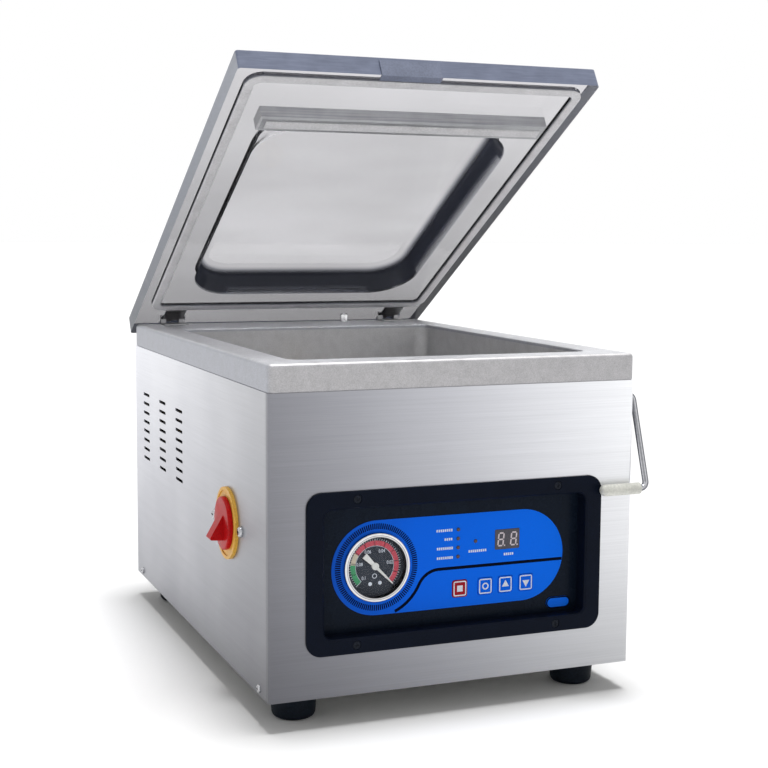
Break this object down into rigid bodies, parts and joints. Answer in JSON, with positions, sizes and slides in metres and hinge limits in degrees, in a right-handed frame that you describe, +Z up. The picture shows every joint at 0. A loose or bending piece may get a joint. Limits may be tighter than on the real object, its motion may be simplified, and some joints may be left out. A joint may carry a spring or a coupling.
{
  "type": "vacuum chamber sealer",
  "caption": "Table-top vacuum chamber sealer with a clear domed lid standing open, steel cabinet, dial gauge, blue key panel and rotary switch.",
  "frame": {"origin": "on the table, midway between the four feet", "axes": "+X to the right of the operator, +Y to the back, +Z up; the lid is open at rest"},
  "size_m": [0.3606, 0.5166, 0.5451],
  "materials": {
    "brushed_steel": "brushed stainless steel, horizontal grain",
    "rim_steel": "fine satin steel",
    "tub_steel": "matt pressed steel",
    "zinc_steel": "zinc plated steel",
    "bright_chrome": "polished chrome",
    "aluminium": "satin aluminium",
    "black_plastic": "moulded black plastic with a fine texture",
    "dark_plastic": "dark moulded plastic",
    "blue_film": "printed blue overlay film",
    "key_film": "blue key cap with a light border",
    "red_key": "red key cap with a light border",
    "lamp_plastic": "small tinted lamp",
    "display_plastic": "dark display window",
    "dial_face": "dark printed dial",
    "needle_white": "white painted needle",
    "clear_glass": "clear gauge glass",
    "clear_acrylic": "clear acrylic, slightly smoky at the edges",
    "grey_seal": "pale grey silicone",
    "black_rubber": "moulded black rubber",
    "bladder_rubber": "red brown rubber",
    "clear_hose": "milky hose",
    "brown_tape": "woven sealing tape",
    "bar_resin": "brown laminated resin",
    "yellow_plate": "yellow moulded plate",
    "red_knob": "red moulded knob",
    "white_grip": "off-white moulded grip",
    "cast_metal": "painted cast aluminium",
    "motor_paint": "grey motor enamel",
    "core_steel": "varnished laminated core",
    "brass_fitting": "turned brass",
    "board_green": "green circuit board"
  },
  "bodies": {
    "chassis": {"rubber_feet": "black_rubber", "foot_screws": "zinc_steel", "panel_screws": "zinc_steel", "base_tray": "zinc_steel", "front_panel": "brushed_steel", "left_panel": "brushed_steel", "right_panel": "brushed_steel", "back_panel": "brushed_steel", "top_rim": "rim_steel", "chamber_tub": "tub_steel", "port_fitting": "brass_fitting", "lift_bladder": "bladder_rubber", "bezel_frame": "black_plastic", "bezel_screws": "dark_plastic", "fascia_plate": "black_plastic", "control_overlay": "blue_film", "control_board": "board_green", "status_lamps": "lamp_plastic", "number_display": "display_plastic", "model_badge": "blue_film", "gauge_case": "dark_plastic", "gauge_dial": "dial_face", "gauge_lens": "clear_glass", "gauge_ring": "bright_chrome", "switch_plate": "yellow_plate", "switch_body": "dark_plastic", "switch_screws": "bright_chrome", "lever_bush": "zinc_steel", "hinge_base_leaves": "zinc_steel", "hinge_pins": "zinc_steel", "hinge_springs": "zinc_steel", "lid_switch": "dark_plastic", "vacuum_pump": "cast_metal", "pump_motor": "motor_paint", "seal_transformer": "core_steel", "valve_block": "brass_fitting", "vacuum_hoses": "clear_hose", "gauge_tube": "clear_hose", "power_inlet": "dark_plastic", "gas_port": "brass_fitting"},
    "lid": {"lid_shell": "clear_acrylic", "lid_gasket": "grey_seal", "pad_holder": "aluminium", "silicone_pad": "grey_seal", "lid_handle": "aluminium", "hinge_lid_leaves": "zinc_steel"},
    "plunger": {"lid_plunger": "bright_chrome"},
    "lever": {"lever_arm": "bright_chrome", "lever_grip": "white_grip"},
    "knob": {"switch_knob": "red_knob"},
    "needle": {"gauge_needle": "needle_white"},
    "stop_button": {"stop_key": "red_key"},
    "set_button": {"set_key": "key_film"},
    "up_button": {"up_key": "key_film"},
    "down_button": {"down_key": "key_film"},
    "press_bar": {"seal_bar": "bar_resin", "heater_strip": "zinc_steel", "seal_tape": "brown_tape"},
    "fan": {"motor_fan": "dark_plastic"}
  },
  "joints": [
    {"name": "lid_hinge", "type": "hinge", "parent": "chassis", "child": "lid", "pos_m": [0, 0.2342, 0.3042], "axis": [1, 0, 0], "range_deg": [0, 30], "stiffness_Nm_per_rad": 7, "springref_deg": -63.03},
    {"name": "plunger_press", "type": "slide", "parent": "chassis", "child": "plunger", "axis": [0, 0, -1], "range_m": [0, 0.008]},
    {"name": "lever_turn", "type": "hinge", "parent": "chassis", "child": "lever", "pos_m": [0.175, -0.2203, 0.2594], "axis": [-1, 0, 0], "range_deg": [0, 100]},
    {"name": "knob_turn", "type": "hinge", "parent": "chassis", "child": "knob", "pos_m": [-0.165, -0.1245, 0.15], "axis": [-1, 0, 0], "range_deg": [0, 90]},
    {"name": "needle_turn", "type": "hinge", "parent": "chassis", "child": "needle", "pos_m": [-0.0685, -0.2225, 0.126], "axis": [0, -1, 0], "range_deg": [0, 270], "stiffness_Nm_per_rad": 0.0004, "springref_deg": -17.19},
    {"name": "stop_press", "type": "slide", "parent": "chassis", "child": "stop_button", "axis": [0, 1, 0], "range_m": [0, 0.0008], "stiffness_N_per_m": 800, "springref_m": -0.0005},
    {"name": "set_press", "type": "slide", "parent": "chassis", "child": "set_button", "axis": [0, 1, 0], "range_m": [0, 0.0008], "stiffness_N_per_m": 800, "springref_m": -0.0005},
    {"name": "up_press", "type": "slide", "parent": "chassis", "child": "up_button", "axis": [0, 1, 0], "range_m": [0, 0.0008], "stiffness_N_per_m": 800, "springref_m": -0.0005},
    {"name": "down_press", "type": "slide", "parent": "chassis", "child": "down_button", "axis": [0, 1, 0], "range_m": [0, 0.0008], "stiffness_N_per_m": 800, "springref_m": -0.0005},
    {"name": "bar_lift", "type": "slide", "parent": "chassis", "child": "press_bar", "axis": [0, 0, 1], "range_m": [0, 0.01]},
    {"name": "fan_spin", "type": "hinge", "parent": "chassis", "child": "fan", "pos_m": [0.035, 0.205, 0.11], "axis": [0, 1, 0], "continuous": true}
  ],
  "couplings": [
    {"joint": "plunger_press", "follows": "lid_hinge", "m_per_rad": 0.01527}
  ]
}
